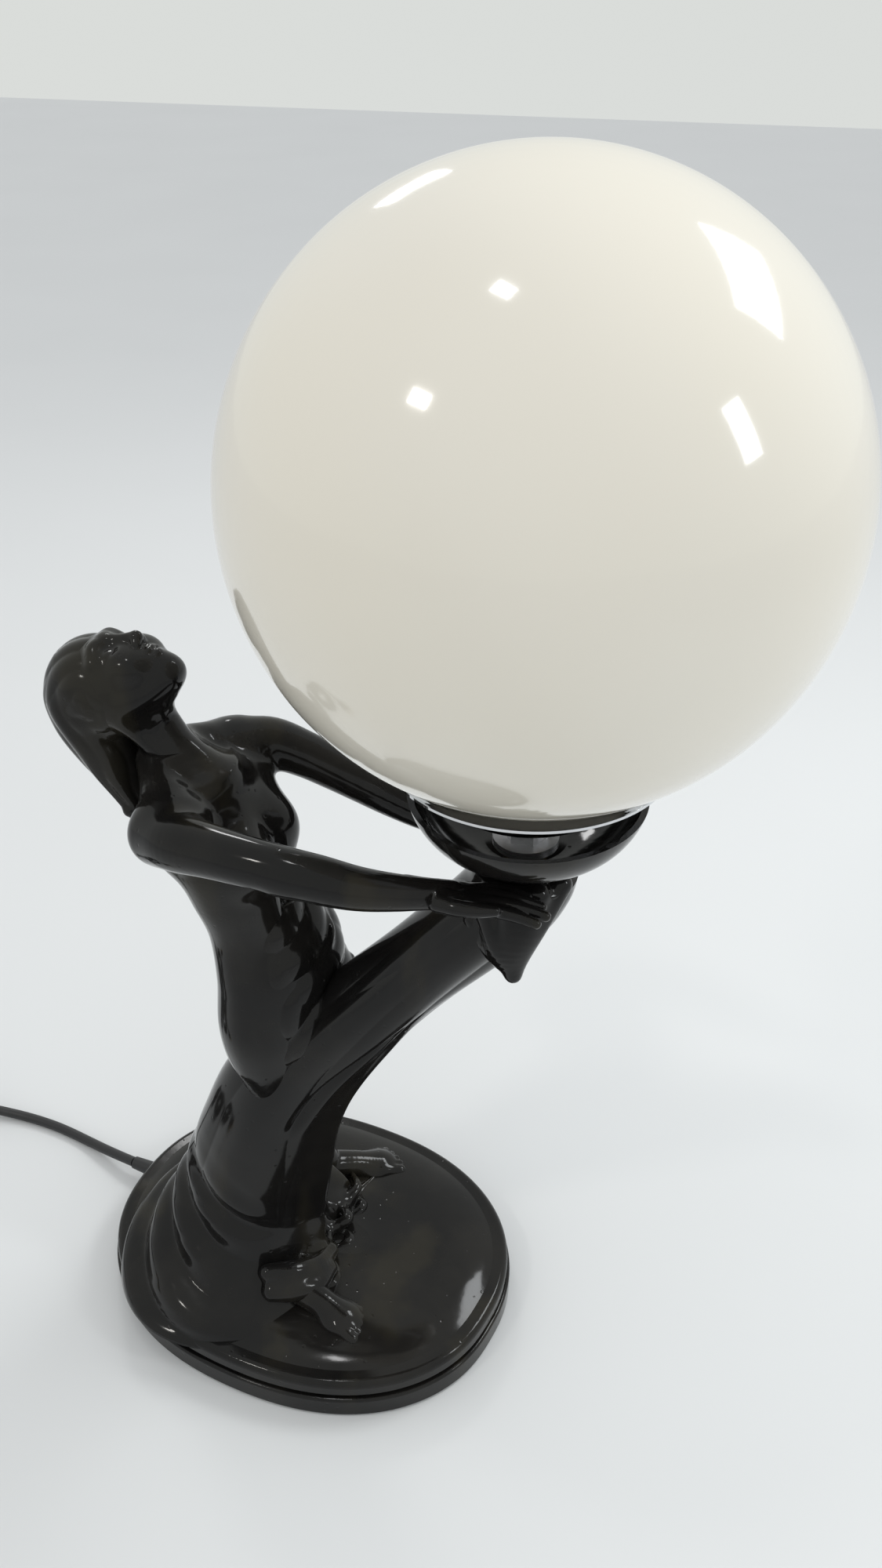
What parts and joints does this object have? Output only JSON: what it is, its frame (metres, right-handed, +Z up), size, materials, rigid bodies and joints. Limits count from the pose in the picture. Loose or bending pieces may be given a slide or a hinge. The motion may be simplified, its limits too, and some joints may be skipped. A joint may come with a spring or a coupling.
{
  "type": "figural table lamp",
  "caption": "Black glazed table lamp: a draped standing figure leans back on an oval plinth and holds up a shallow dish with an opal glass globe.",
  "frame": {"origin": "middle of the lamp's underside, on the surface it stands on", "axes": "+X is the way the figure faces, towards the globe; +Y is the far side of the lamp in the picture; +Z up"},
  "size_m": [0.5112, 0.2073, 0.4998],
  "materials": {
    "black_glaze": "high gloss",
    "chrome": "polished",
    "opal_glass": "glossy opal",
    "brass": "satin",
    "zinc_steel": "satin",
    "green_felt": "felt",
    "board": "matte",
    "black_plastic": "satin",
    "white_plastic": "gloss",
    "cord_rubber": "satin",
    "lead_sheath": "satin",
    "bulb_white": "pearl",
    "rocker_black": "gloss"
  },
  "bodies": {
    "root": {"felt_base": "green_felt", "plinth": "black_glaze", "base_plate": "board", "base_screws": "zinc_steel", "skirt_lower": "black_glaze", "skirt_sweep": "black_glaze", "torso": "black_glaze", "head": "black_glaze", "hair_fall": "black_glaze", "dish": "black_glaze", "near_arm": "black_glaze", "near_hand": "black_glaze", "far_arm": "black_glaze", "far_hand": "black_glaze", "drape_corner": "black_glaze", "hip_drape": "black_glaze", "hem_fold_1": "black_glaze", "hem_fold_2": "black_glaze", "near_foot": "black_glaze", "far_foot": "black_glaze", "hem_gather": "black_glaze", "anchor_nut": "zinc_steel", "threaded_tube": "brass", "dish_washer": "zinc_steel", "dish_nut": "zinc_steel", "spacer_sleeve": "brass", "gallery": "chrome", "gallery_nut": "zinc_steel", "holder_cap": "black_plastic", "holder_shell": "black_plastic", "holder_insert": "white_plastic", "centre_contact": "brass", "thread_shell": "brass", "cord_gland": "cord_rubber", "lead_clamp": "white_plastic", "inner_lead": "lead_sheath", "cord_lead": "cord_rubber", "cord_link": "cord_rubber", "cord_coil": "cord_rubber", "cord_tail": "cord_rubber", "switch_base": "black_plastic", "switch_cover": "black_plastic", "switch_screws": "zinc_steel", "plug_body": "cord_rubber", "plug_pins": "brass"},
    "globe": {"globe_crown": "opal_glass", "globe_bowl": "opal_glass", "globe_mouth": "opal_glass", "globe_neck": "opal_glass"},
    "bulb": {"bulb_cap": "brass", "bulb_glass": "bulb_white"},
    "thumb_screw_1": {"thumb_screw_1": "chrome"},
    "thumb_screw_2": {"thumb_screw_2": "chrome"},
    "thumb_screw_3": {"thumb_screw_3": "chrome"},
    "rocker": {"switch_rocker": "rocker_black"}
  },
  "joints": [
    {"name": "globe_lift", "type": "slide", "parent": "root", "child": "globe", "axis": [0, 0, 1], "range_m": [0, 0.11]},
    {"name": "bulb_turn", "type": "hinge", "parent": "root", "child": "bulb", "pos_m": [0.09675, -0.00475, 0.33], "axis": [0, 0, 1], "continuous": true},
    {"name": "thumb_screw_1_out", "type": "slide", "parent": "root", "child": "thumb_screw_1", "axis": [0.9397, -0.342, 0], "range_m": [0, 0.005]},
    {"name": "thumb_screw_2_out", "type": "slide", "parent": "root", "child": "thumb_screw_2", "axis": [-0.1736, 0.9848, 0], "range_m": [0, 0.005]},
    {"name": "thumb_screw_3_out", "type": "slide", "parent": "root", "child": "thumb_screw_3", "axis": [-0.766, -0.6428, 0], "range_m": [0, 0.005]},
    {"name": "rocker_tilt", "type": "hinge", "parent": "root", "child": "rocker", "pos_m": [-0.25025, 0.03145, 0.0135], "axis": [0.235, -0.972, 0], "range_deg": [-7, 7]}
  ]
}
